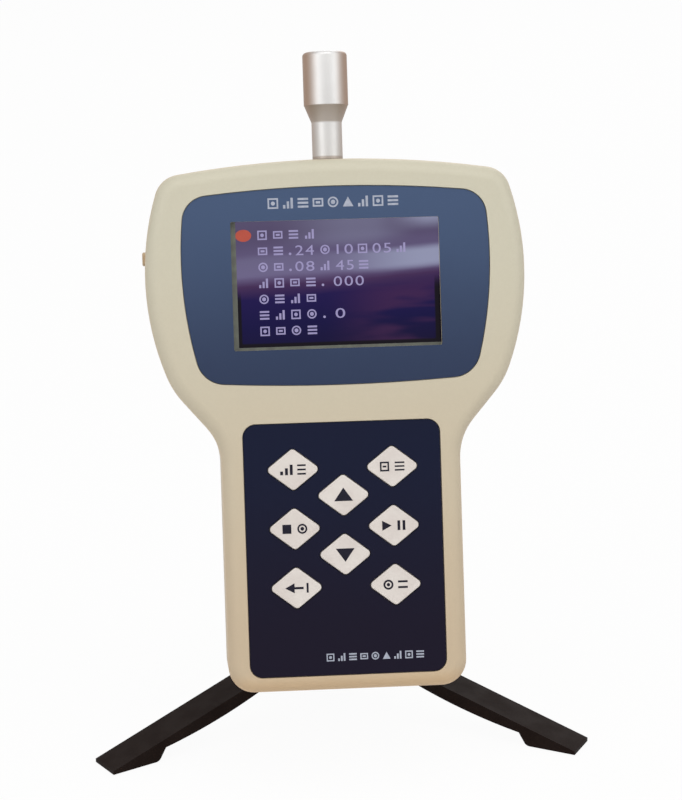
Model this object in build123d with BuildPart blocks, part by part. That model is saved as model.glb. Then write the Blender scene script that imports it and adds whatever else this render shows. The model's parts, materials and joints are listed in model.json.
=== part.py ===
from build123d import *
import os
from math import cos, radians, sin, tan

os.makedirs("parts", exist_ok=True)

# A handheld airborne particle counter on a table tripod. Millimetres, +Z up, +X to the right of
# somebody who reads the display, who stands at -Y. The origin lies on the table, under the middle
# of the whole object.

# ---------------------------------------------------------------- sizes: case outline
handle_half = 42.0          # half the width of the handle
neck_height = 87.8          # corner between handle and shoulder, above the lower end
shoulder_rise = 18.8        # from the neck corner to the shoulder corner
shoulder_inset = 8.6        # shoulder corner inside the widest line
head_half = 66.7            # half the greatest width
belly_rise = 41.4           # from the shoulder corner to the greatest width
corner_rise = 33.4          # from the greatest width to the upper corner
corner_inset = 6.5          # upper corner inside the widest line
crown_rise = 5.1            # height of the crowned top above the upper corners
foot_radius = 9.0
neck_radius = 21.0
shoulder_radius = 31.0
corner_radius = 9.5

shoulder_height = neck_height + shoulder_rise
belly_height = shoulder_height + belly_rise
corner_height = belly_height + corner_rise
case_height = corner_height + crown_rise

# ---------------------------------------------------------------- sizes: case through its depth
rear_depth = 24.0           # rear shell, from the back to the seam
front_depth = 20.0          # front shell, from the seam to the face
side_wall = 2.5
back_wall = 2.5
front_wall = 3.2
back_rounding = 8.0
front_rounding = 5.0
tongue_height = 1.5         # tongue of the rear shell inside the front shell
tongue_thickness = 1.0
tongue_clearance = 0.1
seam_bevel = 0.4

face = rear_depth + front_depth
front_inside = face - front_wall

# ---------------------------------------------------------------- sizes: stand and attitude
lean = 16.0                 # the case leans back by this angle
ball_height = 73.2
ball_radius = 8.0
stem_length = 25.0          # ball centre to the back of the case
socket_height = 53.0        # tripod socket above the lower end of the case
socket_offset = 0.0         # tripod socket from the middle line of the case
leg_reach = 101.2           # tripod axis to the toes
leg_slope = 17.2
leg_width = 13.3
leg_wall = 1.8
toe_height = 2.0            # top of the toe above the table

case_front = (0, -cos(radians(lean)), sin(radians(lean)))
case_up = (0, sin(radians(lean)), cos(radians(lean)))

# The foremost point is on the rounded lower rim of the face, the rearmost is the rear toe.
rim_forward = stem_length + face - front_rounding
rim_below = socket_height - front_rounding
front_reach = rim_forward * cos(radians(lean)) + rim_below * sin(radians(lean)) + front_rounding
axis_y = (front_reach - leg_reach) / 2

ball_centre = Vector(0, axis_y, ball_height)
case_origin = (
    ball_centre
    + Vector(*case_front) * stem_length
    - Vector(*case_up) * socket_height
    - Vector(socket_offset, 0, 0)
)
back = Plane(origin=case_origin, x_dir=(1, 0, 0), z_dir=case_front)
depth_axis = Axis(case_origin, case_front)


def across(x, height, forward):
    """Plane that faces +X at a place in the case; its own x runs up the case."""
    return Plane(origin=back.from_local_coords((x, height, forward)), x_dir=case_up, z_dir=(1, 0, 0))


def upright(x, height, forward):
    """Plane that faces up the case at a place in it; its own x runs across the case."""
    return Plane(origin=back.from_local_coords((x, height, forward)), x_dir=(1, 0, 0), z_dir=case_up)


# ---------------------------------------------------------------- sizes: display
overlay_half = 53.75        # half the greatest width of the display overlay
overlay_belly_drop = 2.2    # widest line of the overlay, below the case's own widest line
overlay_rise = 28.7         # from the case's widest line to the overlay's top
overlay_fall = 40.5         # from the case's widest line to the overlay's bottom
overlay_upper_half = 52.2
overlay_upper_drop = 3.1    # upper corners, below the crowned top of the overlay
overlay_lower_half = 47.5
overlay_lower_rise = 1.8
overlay_belly_height = belly_height - overlay_belly_drop
overlay_top = belly_height + overlay_rise
overlay_bottom = belly_height - overlay_fall
overlay_upper_corner = (overlay_upper_half, overlay_top - overlay_upper_drop)
overlay_lower_corner = (overlay_lower_half, overlay_bottom + overlay_lower_rise)
overlay_upper_radius = 9.0
overlay_lower_radius = 10.0
overlay_thickness = 1.2
overlay_sunk = 0.4          # overlays lie this far below the face
overlay_clearance = 0.25
window_width = 73.0
window_depth = 45.0
window_drop = 5.3           # middle of the window, below the case's widest line
window_height = belly_height - window_drop
window_radius = 0.6
recess_depth = overlay_thickness + overlay_sunk

frame_width = 84.0          # metal frame of the display
frame_length = 56.0
frame_thickness = 3.5
frame_sheet = 0.6
frame_radius = 1.2
view_left = 34.7            # seen part of the glass, from the middle of the window
view_right = 37.4
view_low = 21.5
view_high = 23.4
glass_thickness = 1.8
fit_gap = 0.1
display_board_length = 48.0
board_thickness = 1.6
main_board_length = 47.0
main_board_drop = 2.3       # middle of the board, below the middle of the window
main_board_height = window_height - main_board_drop
spacer_length = 2.6
spacer_radius = 2.4
post_side_gap = 0.4         # between the frame and the posts beside it
display_post_rise = 18.5
post_radius = 2.8
main_board_gap = 10.7       # edge of the main board inside the widest line

display_post_x = frame_width / 2 + post_side_gap + post_radius
display_board_width = 2 * (display_post_x + post_radius)
main_board_width = 2 * (head_half - main_board_gap)
frame_back = front_inside - frame_thickness
display_board_back = frame_back - board_thickness
main_board_front = display_board_back - spacer_length
main_board_back = main_board_front - board_thickness

# ---------------------------------------------------------------- sizes: keypad
panel_width = 69.0
panel_low = 5.6
panel_past_neck = 6.5       # top of the panel, above the neck corner
panel_high = neck_height + panel_past_neck
panel_radius = 4.5
cut_run = 10.0              # how far a through cut runs past the face it starts from
key_width = 19.2
key_length = 14.9
key_radius = 1.5
key_clearance = 0.3
key_proud = 0.8             # keys above the keypad panel
key_edge = 0.4
key_flange = 1.0            # thickness of the flange behind the front wall
key_flange_margin = 1.3
key_column = 17.4           # outer columns from the middle line
key_pitch = 20.75
key_lowest = 36.7
key_middle_rise = 11.25     # middle column above the outer rows
key_travel = 0.5
key_spare = 0.3             # room left behind a pressed flange
stem_radius = 1.5
stem_entry = 1.2            # stem inside its switch
stem_fit = 0.1
switch_width = 6.0
switch_height = 3.5
switch_radius = 0.6
key_board_width = 60.0
key_board_length = 66.0
board_radius = 2.0
key_post_x = 26.0
key_post_rise = 29.3

panel_face = face - overlay_sunk
flange_back = front_inside - key_flange
switch_front = flange_back - key_travel - key_spare
key_board_front = switch_front - switch_height
key_board_back = key_board_front - board_thickness

key_board_height = key_lowest + key_pitch

key_places = {
    "key_limit": (-key_column, key_lowest + 2 * key_pitch),
    "key_print": (key_column, key_lowest + 2 * key_pitch),
    "key_up": (0, key_lowest + key_pitch + key_middle_rise),
    "key_mode": (-key_column, key_lowest + key_pitch),
    "key_sample": (key_column, key_lowest + key_pitch),
    "key_down": (0, key_lowest + key_middle_rise),
    "key_exit": (-key_column, key_lowest),
    "key_confirm": (key_column, key_lowest),
}

# ---------------------------------------------------------------- sizes: power button
button_rise = 5.5           # above the case's widest line
button_height = belly_height + button_rise
button_radius = 2.45
button_proud = 0.8
button_travel = 0.5
button_fit = 0.1
button_flange_radius = 3.3
button_flange = 1.0
button_seat = 0.5           # flange seat sunk into the side wall
button_stem = 1.2
power_switch_length = 6.0
power_switch_depth = 5.0
power_switch_gap = 6.2      # switch face inside the widest line
button_forward = main_board_back - power_switch_depth / 2
power_switch_face = head_half - power_switch_gap

# ---------------------------------------------------------------- sizes: screws and bosses
boss_radius = 3.5
neck_screw_rise = 11.2      # middle screws above the neck corner
head_screw_rise = 20.0      # upper screws above the widest line
screw_places = [(33.0, 10.0), (43.5, neck_height + neck_screw_rise), (52.0, belly_height + head_screw_rise)]
head_radius = 2.8
head_height = 2.0
head_depth = 5.0            # outer face of a screw head below the back
head_clearance = 0.3
shank_radius = 1.4
shank_length = 27.0
shank_clearance = 0.1
small_head_radius = 2.2
small_head_height = 1.4
small_shank_radius = 1.0
small_shank_length = 4.6
driver_width = 0.8
driver_length = 3.0

# ---------------------------------------------------------------- sizes: inlet and air path
probe_x = 0.0
probe_forward = 16.0
probe_radius = 8.0
probe_barrel = 18.9
probe_cone = 6.3
probe_neck_radius = 5.45
probe_neck = 13.3
probe_mouth = 5.8
probe_mouth_depth = 16.5
probe_throat = 2.2
probe_rim = 1.4
seal_radius = 5.3
seal_thickness = 1.0
spigot_radius = 3.5
spigot_length = 7.0
spigot_fit = 0.1
tube_radius = 2.5
tube_bore = 1.5
nut_width = 11.0
nut_height = 4.0
nut_seat = 0.4              # nut below the inside of the crowned top

chamber_width = 26.0
chamber_length = 24.0
chamber_depth = 27.0
chamber_radius = 1.5
laser_radius = 5.0
laser_length = 26.0
laser_entry = 4.0
trap_radius = 5.5
trap_length = 9.0
trap_entry = 3.0
trap_wall = 1.0
detector_size = 18.0
detector_radius = 1.0

pump_rise = 27.2            # middle of the pump, above the neck corner
pump_height = neck_height + pump_rise
pump_head_x = 26.0          # pump head, nearest side to the middle line
pump_head_length = 16.0
pump_head_size = 24.0
pump_head_radius = 2.0
motor_radius = 10.5
motor_length = 26.0
motor_rim = 1.0
filter_radius = 10.0
filter_length = 24.0
filter_rim = 2.0
filter_x = -40.0
nipple_radius = 2.4
nipple_length = 5.0
saddle_thickness = 3.0
saddle_width = 16.0
saddle_height = 6.0
saddle_places = (6.0, 20.0)  # saddles from the left end of the motor and of the filter
saddle_spare = 2.0          # saddle cut beyond both ends
hose_radius = 2.6
hose_bore = 1.6
hose_bend = 4.6
hose_drop = 8.5             # exhaust hose below the pump head
hose_return_x = -6.0
sample_drop = 11.0          # room for the sample hose between pump head and chamber
sample_hose_x = 34.0
exhaust_hose_x = 32.0
pump_forward = back_wall + pump_head_size / 2
chamber_low = pump_height + pump_head_size / 2 + sample_drop

vent_x = -28.0
vent_length = 20.0
vent_width = 1.8
vent_pitch = 4.0
vent_count = 6

# ---------------------------------------------------------------- sizes: power supply and ports
cell_radius = 9.1
cell_length = 65.0
cell_rim = 0.8
cell_low = 22.0
cell_places = [-20.7, 20.7]
holder_half = 10.4
holder_floor = 1.2
holder_height = 8.0
holder_end = 1.5
holder_strip = 6.0
contact_radius = 5.0
contact_thickness = 0.5
cell_forward = back_wall + holder_floor + cell_radius

jack_x = -14.0
jack_forward = 14.0
jack_width = 9.0
jack_length = 14.0
jack_depth = 11.0
jack_nose = 3.8
jack_bore = 2.75
jack_bore_depth = 9.0
jack_pin_radius = 1.0
jack_pin_length = 8.0
port_x = 14.0
port_forward = 14.0
port_width = 8.4
port_depth = 3.8
port_length = 9.0
port_sheet = 0.5
port_clearance = 0.2
port_radius = 0.8

buzzer_radius = 6.0
buzzer_thickness = 5.0
buzzer_height = 32.0
buzzer_hole = 1.2

# ---------------------------------------------------------------- sizes: tripod
insert_radius = 5.5
insert_length = 10.0
socket_radius = 3.2
stud_radius = 3.1
stud_entry = 8.0
boss_wall = 2.5
boss_floor = 1.5
pad_thickness = 1.5
platform_thickness = 4.0
platform_radius = 15.0
platform_notch = 1.2
platform_notches = 24
stem_neck_radius = 3.5

cup_radius = 11.0
cup_above = 4.5             # cup rim above the ball centre
cup_below = 13.0
cup_fit = 0.1
stem_clearance = 0.3
clamp_boss_radius = 5.0
clamp_boss_reach = 14.0
clamp_radius = 2.9
clamp_fit = 0.1
clamp_gap = 0.3
knob_radius = 8.5
knob_length = 8.0
knob_lobes = 7
knob_scallop = 2.6
knob_entry = 5.0

hub_radius = 8.5
hub_low = 17.0
hub_high = 34.5
column_radius = 6.5
pin_reach = 13.0            # tripod axis to the leg pins
pin_depth = 5.5             # pin centre below the top face of its leg
pin_radius = 1.5
pin_fit = 0.1
lug_radius = 3.4
lug_side_gap = 0.2
leg_root = 9.3
knuckle_radius = 3.8
heel_reach = 82.0
heel_run = 3.0
heel_radius = 2.5
waist_depth = 3.3
belly_depth = 5.0
inner_depth = 3.6
inner_reach = 30.0
leg_edge = 0.5
foot_proud = 0.6            # foot pads below the soles
foot_thickness = 1.8
foot_length = 10.0
foot_width = 8.0
foot_margin = 2.2           # pad from the toe

slope = tan(radians(leg_slope))
leg_angles = {"leg_front_left": 210, "leg_front_right": 330, "leg_rear": 90}


# ---------------------------------------------------------------- outlines
def case_outline(inset=0.0):
    """Front view of the case: straight handle, shoulders, curved sides and a crowned top."""
    shoulder = (head_half - shoulder_inset, shoulder_height)
    corner = (head_half - corner_inset, corner_height)
    with BuildSketch() as outline:
        with BuildLine():
            Polyline((handle_half, 0), (handle_half, neck_height), shoulder)
            ThreePointArc(shoulder, (head_half, belly_height), corner)
            mirror(about=Plane.YZ)
            Line((-handle_half, 0), (handle_half, 0))
            ThreePointArc((-corner[0], corner[1]), (0, case_height), corner)
        make_face()
        if inset:
            offset(amount=-inset, kind=Kind.INTERSECTION)
        fillet(outline.vertices().group_by(Axis.Y)[-1], corner_radius - inset)
        fillet(outline.vertices().group_by(Axis.Y)[2], shoulder_radius - inset)
        fillet(outline.vertices().group_by(Axis.Y)[1], neck_radius + inset)
        fillet(outline.vertices().group_by(Axis.Y)[0], foot_radius - inset)
    return outline.sketch


def overlay_outline(grow=0.0):
    """Front view of the display overlay, with bowed sides and round corners."""
    upper = overlay_upper_corner
    lower = overlay_lower_corner
    with BuildSketch() as outline:
        with BuildLine():
            ThreePointArc(upper, (overlay_half, overlay_belly_height), lower)
            mirror(about=Plane.YZ)
            ThreePointArc((-upper[0], upper[1]), (0, overlay_top), upper)
            ThreePointArc((-lower[0], lower[1]), (0, overlay_bottom), lower)
        make_face()
        if grow:
            offset(amount=grow, kind=Kind.INTERSECTION)
        fillet(outline.vertices().group_by(Axis.Y)[-1], overlay_upper_radius + grow)
        fillet(outline.vertices().group_by(Axis.Y)[0], overlay_lower_radius + grow)
    return outline.sketch


def panel_outline(grow=0.0):
    """Front view of the keypad panel."""
    with BuildSketch() as outline:
        with Locations((0, (panel_low + panel_high) / 2)):
            RectangleRounded(panel_width, panel_high - panel_low, panel_radius)
        if grow:
            offset(amount=grow)
    return outline.sketch


def diamond(grow=0.0):
    """Front view of one key: a rhombus with rounded corners, grown by a margin."""
    with BuildSketch() as outline:
        with BuildLine():
            Polyline((key_width / 2, 0), (0, key_length / 2), (-key_width / 2, 0),
                     (0, -key_length / 2), close=True)
        make_face()
        fillet(outline.vertices(), key_radius)
        if grow:
            offset(amount=grow)
    return outline.sketch


def rounded_block(start, end, inset, rounding):
    """Case outline from start to end through the depth, with the rim at start rounded."""
    with BuildPart() as block:
        with BuildSketch(back.offset(start)):
            add(case_outline(inset))
        extrude(amount=end - start)
        ends = block.faces().filter_by(back).sort_by(depth_axis)
        rim = ends[0] if start < end else ends[-1]
        fillet(rim.edges(), rounding)
    return block.part


mirrored_screws = [(side * x, y) for x, y in screw_places for side in (-1, 1)]
display_posts = [
    (side * display_post_x, window_height + rise)
    for side in (-1, 1)
    for rise in (-display_post_rise, display_post_rise)
]
key_posts = [
    (side * key_post_x, key_board_height + rise)
    for side in (-1, 1)
    for rise in (-key_post_rise, key_post_rise)
]
button_x = head_half - side_wall + button_seat     # flange seat from the middle line

# ---------------------------------------------------------------- rear shell
with BuildPart() as rear_shell:
    add(rounded_block(0, rear_depth, 0, back_rounding))
    cavity = rounded_block(back_wall, rear_depth + front_depth, side_wall, back_rounding - side_wall)
    add(cavity, mode=Mode.SUBTRACT)
    with BuildSketch(back.offset(rear_depth)):
        add(case_outline(side_wall - tongue_thickness))
        add(case_outline(side_wall), mode=Mode.SUBTRACT)
    extrude(amount=tongue_height)
    # screw bosses, counterbored from the back
    with BuildSketch(back.offset(back_wall / 2)):
        with Locations(*mirrored_screws):
            Circle(boss_radius + head_clearance)
    extrude(amount=rear_depth - back_wall / 2)
    with BuildSketch(back):
        with Locations(*mirrored_screws):
            Circle(head_radius + head_clearance)
    extrude(amount=head_depth + head_height, mode=Mode.SUBTRACT)
    with BuildSketch(back):
        with Locations(*mirrored_screws):
            Circle(shank_radius + shank_clearance)
    extrude(amount=rear_depth, mode=Mode.SUBTRACT)
    # boss of the tripod insert
    with BuildSketch(back.offset(back_wall / 2)):
        with Locations((socket_offset, socket_height)):
            Circle(insert_radius + boss_wall)
    extrude(amount=insert_length + boss_floor - back_wall / 2)
    with BuildSketch(back):
        with Locations((socket_offset, socket_height)):
            Circle(insert_radius)
    extrude(amount=insert_length, mode=Mode.SUBTRACT)
    # saddles under the pump motor and the exhaust filter
    with BuildSketch(back.offset(back_wall)):
        for x in (pump_head_x - motor_length, filter_x):
            with Locations(*[(x + place, pump_height) for place in saddle_places]):
                Rectangle(saddle_thickness, saddle_width)
    extrude(amount=saddle_height)
    with BuildSketch(across(pump_head_x - motor_length - saddle_spare, pump_height, pump_forward)):
        Circle(motor_radius + fit_gap)
    extrude(amount=motor_length, mode=Mode.SUBTRACT)
    with BuildSketch(across(filter_x - saddle_spare, pump_height, pump_forward)):
        Circle(filter_radius + fit_gap)
    extrude(amount=filter_length, mode=Mode.SUBTRACT)
    # hole of the inlet fitting through the crowned top
    with BuildSketch(upright(probe_x, case_height - cut_run, probe_forward)):
        Circle(spigot_radius + spigot_fit)
    extrude(amount=2 * cut_run, mode=Mode.SUBTRACT)
    # charging socket and data port in the lower end
    with BuildSketch(upright(jack_x, -cut_run, jack_forward)):
        Circle(jack_nose + fit_gap)
    extrude(amount=cut_run + 2 * side_wall, mode=Mode.SUBTRACT)
    with BuildSketch(upright(port_x, -cut_run, port_forward)):
        Rectangle(port_width + 2 * port_clearance, port_depth + 2 * port_clearance)
    extrude(amount=cut_run + 2 * side_wall, mode=Mode.SUBTRACT)
    # exhaust vents
    with BuildSketch(back):
        with Locations((vent_x, pump_height)):
            with GridLocations(0, vent_pitch, 1, vent_count):
                SlotOverall(vent_length, vent_width)
    extrude(amount=back_wall, mode=Mode.SUBTRACT)

# ---------------------------------------------------------------- front shell
with BuildPart() as front_shell:
    add(rounded_block(face, rear_depth, 0, front_rounding))
    add(rounded_block(front_inside, rear_depth, side_wall, front_rounding - side_wall), mode=Mode.SUBTRACT)
    # rebate for the tongue of the rear shell, and the shadow line round the seam
    with BuildSketch(back.offset(rear_depth)):
        add(case_outline(side_wall - tongue_thickness - tongue_clearance))
    extrude(amount=tongue_height + tongue_clearance, mode=Mode.SUBTRACT)
    with BuildSketch(back.offset(rear_depth)):
        add(case_outline())
        add(case_outline(seam_bevel), mode=Mode.SUBTRACT)
    extrude(amount=seam_bevel, mode=Mode.SUBTRACT)
    # recesses of the two overlays
    with BuildSketch(back.offset(face - recess_depth)):
        add(overlay_outline(overlay_clearance))
        add(panel_outline(overlay_clearance))
    extrude(amount=recess_depth, mode=Mode.SUBTRACT)
    with BuildSketch(back.offset(front_inside)):
        with Locations((0, window_height)):
            RectangleRounded(window_width, window_depth, window_radius)
        for place in key_places.values():
            with Locations(place):
                add(diamond(key_clearance))
    extrude(amount=front_wall, mode=Mode.SUBTRACT)
    # screw bosses and posts
    with BuildSketch(back.offset(front_inside)):
        with Locations(*mirrored_screws):
            Circle(boss_radius)
    extrude(amount=rear_depth - front_inside)
    with BuildSketch(back.offset(front_inside)):
        with Locations(*display_posts):
            Circle(post_radius)
    extrude(amount=frame_back - front_inside)
    with BuildSketch(back.offset(front_inside)):
        with Locations(*key_posts):
            Circle(post_radius)
    extrude(amount=key_board_front - front_inside)
    with BuildSketch(back.offset(rear_depth)):
        with Locations(*mirrored_screws):
            Circle(shank_radius + shank_clearance)
    extrude(amount=head_depth + head_height + shank_length - rear_depth + fit_gap, mode=Mode.SUBTRACT)
    with BuildSketch(back.offset(key_board_front)):
        with Locations(*key_posts):
            Circle(small_shank_radius + shank_clearance)
    extrude(amount=small_shank_length - board_thickness + fit_gap, mode=Mode.SUBTRACT)
    with BuildSketch(back.offset(frame_back)):
        with Locations(*display_posts):
            Circle(small_shank_radius + shank_clearance)
    extrude(amount=frame_thickness, mode=Mode.SUBTRACT)
    # power button hole in the left side, with a flat seat for its flange
    with BuildSketch(across(-head_half - cut_run, button_height, button_forward)):
        Circle(button_radius + button_fit)
    extrude(amount=cut_run + side_wall, mode=Mode.SUBTRACT)
    with BuildSketch(across(-button_x, button_height, button_forward)):
        Circle(button_flange_radius + key_clearance)
    extrude(amount=side_wall, mode=Mode.SUBTRACT)

# ---------------------------------------------------------------- overlays
with BuildPart() as display_overlay:
    with BuildSketch(back.offset(face - recess_depth)):
        add(overlay_outline())
        with Locations((0, window_height)):
            RectangleRounded(window_width, window_depth, window_radius, mode=Mode.SUBTRACT)
    extrude(amount=overlay_thickness)

with BuildPart() as keypad_panel:
    with BuildSketch(back.offset(face - recess_depth)):
        add(panel_outline())
        for place in key_places.values():
            with Locations(place):
                add(diamond(key_clearance), mode=Mode.SUBTRACT)
    extrude(amount=overlay_thickness)

# ---------------------------------------------------------------- keys and their board
pieces = {}
for name, place in key_places.items():
    with BuildPart() as key:
        with BuildSketch(back.offset(flange_back)):
            with Locations(place):
                add(diamond(key_flange_margin))
        extrude(amount=key_flange)
        with BuildSketch(back.offset(front_inside)):
            with Locations(place):
                add(diamond())
        extrude(amount=panel_face + key_proud - front_inside)
        fillet(key.faces().sort_by(depth_axis)[-1].edges(), key_edge)
        with BuildSketch(back.offset(flange_back)):
            with Locations(place):
                Circle(stem_radius)
        extrude(amount=switch_front - stem_entry - flange_back)
    pieces[name] = key

with BuildPart() as key_switches:
    with BuildSketch(back.offset(key_board_front)):
        with Locations(*key_places.values()):
            RectangleRounded(switch_width, switch_width, switch_radius)
    extrude(amount=switch_height)
    with BuildSketch(back.offset(switch_front)):
        with Locations(*key_places.values()):
            Circle(stem_radius + stem_fit)
    extrude(amount=-(stem_entry + key_travel + fit_gap), mode=Mode.SUBTRACT)

with BuildPart() as key_board:
    with BuildSketch(back.offset(key_board_back)):
        with Locations((0, key_board_height)):
            RectangleRounded(key_board_width, key_board_length, board_radius)
        with Locations(*key_posts):
            Circle(small_shank_radius + shank_clearance, mode=Mode.SUBTRACT)
    extrude(amount=board_thickness)

with BuildPart() as buzzer:
    with BuildSketch(back.offset(key_board_back)):
        with Locations((0, buzzer_height)):
            Circle(buzzer_radius)
    extrude(amount=-buzzer_thickness)
    with BuildSketch(back.offset(key_board_back - buzzer_thickness)):
        with Locations((0, buzzer_height)):
            Circle(buzzer_hole)
    extrude(amount=buzzer_thickness / 2, mode=Mode.SUBTRACT)

# ---------------------------------------------------------------- display and main board
with BuildPart() as display_frame:
    with BuildSketch(back.offset(frame_back)):
        with Locations((0, window_height)):
            RectangleRounded(frame_width, frame_length, frame_radius)
    extrude(amount=frame_thickness)
    with BuildSketch(back.offset(frame_back)):
        with Locations((0, window_height)):
            Rectangle(frame_width - 2 * frame_sheet, frame_length - 2 * frame_sheet)
    extrude(amount=frame_thickness - frame_sheet, mode=Mode.SUBTRACT)
    with BuildSketch(back.offset(frame_back)):
        with Locations(((view_right - view_left) / 2, window_height + (view_high - view_low) / 2)):
            Rectangle(view_left + view_right, view_low + view_high)
    extrude(amount=frame_thickness, mode=Mode.SUBTRACT)

pocket_width = frame_width - 2 * frame_sheet - 2 * fit_gap
pocket_length = frame_length - 2 * frame_sheet - 2 * fit_gap

with BuildPart() as display_glass:
    with BuildSketch(back.offset(front_inside - frame_sheet)):
        with Locations((0, window_height)):
            Rectangle(pocket_width, pocket_length)
    extrude(amount=-glass_thickness)

with BuildPart() as display_backlight:
    with BuildSketch(back.offset(front_inside - frame_sheet - glass_thickness)):
        with Locations((0, window_height)):
            Rectangle(pocket_width, pocket_length)
    extrude(amount=frame_sheet + glass_thickness - frame_thickness)

with BuildPart() as display_board:
    with BuildSketch(back.offset(display_board_back)):
        with Locations((0, window_height)):
            RectangleRounded(display_board_width, display_board_length, board_radius)
        with Locations(*display_posts):
            Circle(small_shank_radius + shank_clearance, mode=Mode.SUBTRACT)
    extrude(amount=board_thickness)

with BuildPart() as board_spacers:
    with BuildSketch(back.offset(main_board_front)):
        with Locations(*display_posts):
            RegularPolygon(spacer_radius, 6)
            Circle(small_shank_radius + shank_clearance, mode=Mode.SUBTRACT)
    extrude(amount=spacer_length)

with BuildPart() as main_board:
    with BuildSketch(back.offset(main_board_back)):
        with Locations((0, main_board_height)):
            RectangleRounded(main_board_width, main_board_length, board_radius)
        with Locations(*display_posts):
            Circle(small_shank_radius + shank_clearance, mode=Mode.SUBTRACT)
    extrude(amount=board_thickness)

# ---------------------------------------------------------------- power button
with BuildPart() as power_button:
    with BuildSketch(across(-button_x, button_height, button_forward)):
        Circle(button_flange_radius)
    extrude(amount=button_flange)
    with BuildSketch(across(-button_x, button_height, button_forward)):
        Circle(button_radius)
    extrude(amount=-(side_wall - button_seat + button_proud))
    chamfer(power_button.faces().sort_by(Axis.X)[0].edges(), key_edge)
    with BuildSketch(across(-button_x, button_height, button_forward)):
        Circle(button_stem)
    extrude(amount=button_x - power_switch_face + stem_entry)

with BuildPart() as power_switch:
    with BuildSketch(across(-power_switch_face, button_height, button_forward)):
        Rectangle(power_switch_length, power_switch_depth)
    extrude(amount=power_switch_length)
    with BuildSketch(across(-power_switch_face, button_height, button_forward)):
        Circle(button_stem + stem_fit)
    extrude(amount=stem_entry + button_travel + fit_gap, mode=Mode.SUBTRACT)

# ---------------------------------------------------------------- inlet
seal_height = case_height + seal_thickness
nut_top = case_height - side_wall - nut_seat
chamber_top = chamber_low + chamber_length
cone_height = seal_height + probe_neck
barrel_height = cone_height + probe_cone
probe_top = barrel_height + probe_barrel
inlet = upright(probe_x, 0, probe_forward)
inlet_axis = Axis(inlet.origin, case_up)

with BuildPart() as inlet_probe:
    with BuildSketch(Plane(origin=inlet.origin, x_dir=(1, 0, 0), z_dir=case_front)) as half:
        with BuildLine():
            Polyline((spigot_radius + spigot_fit, seal_height), (probe_neck_radius, seal_height),
                     (probe_neck_radius, cone_height), (probe_radius, barrel_height),
                     (probe_radius, probe_top), (probe_mouth, probe_top),
                     (probe_mouth, probe_top - probe_mouth_depth),
                     (probe_throat, barrel_height - probe_cone),
                     (probe_throat, seal_height + spigot_length + fit_gap),
                     (spigot_radius + spigot_fit, seal_height + spigot_length + fit_gap), close=True)
        make_face()
        fillet(half.vertices().group_by(Axis.Y)[-1].sort_by(Axis.X)[-1], probe_rim)
    revolve(axis=inlet_axis)

with BuildPart() as inlet_seal:
    with BuildSketch(upright(probe_x, case_height, probe_forward)):
        Circle(seal_radius)
        Circle(spigot_radius + spigot_fit, mode=Mode.SUBTRACT)
    extrude(amount=seal_thickness)

with BuildPart() as inlet_fitting:
    with BuildSketch(upright(probe_x, nut_top - nut_height, probe_forward)):
        Circle(spigot_radius)
    extrude(amount=seal_height + spigot_length - nut_top + nut_height)
    with BuildSketch(upright(probe_x, chamber_top, probe_forward)):
        Circle(tube_radius)
    extrude(amount=nut_top - nut_height - chamber_top)
    with BuildSketch(upright(probe_x, chamber_top, probe_forward)):
        Circle(tube_bore)
    extrude(amount=seal_height + spigot_length - chamber_top, mode=Mode.SUBTRACT)

with BuildPart() as inlet_nut:
    with BuildSketch(upright(probe_x, nut_top - nut_height, probe_forward)):
        RegularPolygon(nut_width / 2, 6, major_radius=False)
        Circle(spigot_radius + spigot_fit, mode=Mode.SUBTRACT)
    extrude(amount=nut_height)

# ---------------------------------------------------------------- optical cell
chamber_middle = chamber_low + chamber_length / 2
chamber_side = chamber_width / 2
with BuildPart() as optical_chamber:
    with BuildSketch(back.offset(back_wall)):
        with Locations((probe_x, chamber_middle)):
            RectangleRounded(chamber_width, chamber_length, chamber_radius)
    extrude(amount=chamber_depth)
    with BuildSketch(upright(probe_x, chamber_low, probe_forward)):
        Circle(tube_bore)
    extrude(amount=chamber_length, mode=Mode.SUBTRACT)
    with BuildSketch(across(probe_x - chamber_side, chamber_middle, probe_forward)):
        Circle(laser_radius + fit_gap)
    extrude(amount=laser_entry + fit_gap, mode=Mode.SUBTRACT)
    with BuildSketch(across(probe_x + chamber_side, chamber_middle, probe_forward)):
        Circle(trap_radius + fit_gap)
    extrude(amount=-(trap_entry + fit_gap), mode=Mode.SUBTRACT)
    with BuildSketch(across(probe_x - chamber_side, chamber_middle, probe_forward)):
        Circle(tube_bore)
    extrude(amount=chamber_width, mode=Mode.SUBTRACT)
    with BuildSketch(back.offset(probe_forward)):
        with Locations((probe_x, chamber_middle)):
            Circle(tube_bore)
    extrude(amount=chamber_depth, mode=Mode.SUBTRACT)

with BuildPart() as laser_module:
    with BuildSketch(across(probe_x - chamber_side + laser_entry, chamber_middle, probe_forward)):
        Circle(laser_radius)
    extrude(amount=-laser_length)
    chamfer(laser_module.faces().sort_by(Axis.X)[0].edges(), key_edge)

with BuildPart() as light_trap:
    with BuildSketch(across(probe_x + chamber_side - trap_entry, chamber_middle, probe_forward)):
        Circle(trap_radius)
    extrude(amount=trap_length)
    with BuildSketch(across(probe_x + chamber_side - trap_entry, chamber_middle, probe_forward)):
        Circle(trap_radius - trap_wall)
    extrude(amount=trap_length - trap_wall, mode=Mode.SUBTRACT)

with BuildPart() as detector_board:
    with BuildSketch(back.offset(back_wall + chamber_depth)):
        with Locations((probe_x, chamber_middle)):
            RectangleRounded(detector_size, detector_size, detector_radius)
    extrude(amount=board_thickness)

# ---------------------------------------------------------------- pump, filter and hoses
pump_head_low = pump_height - pump_head_size / 2
pump_head_high = pump_height + pump_head_size / 2

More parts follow.
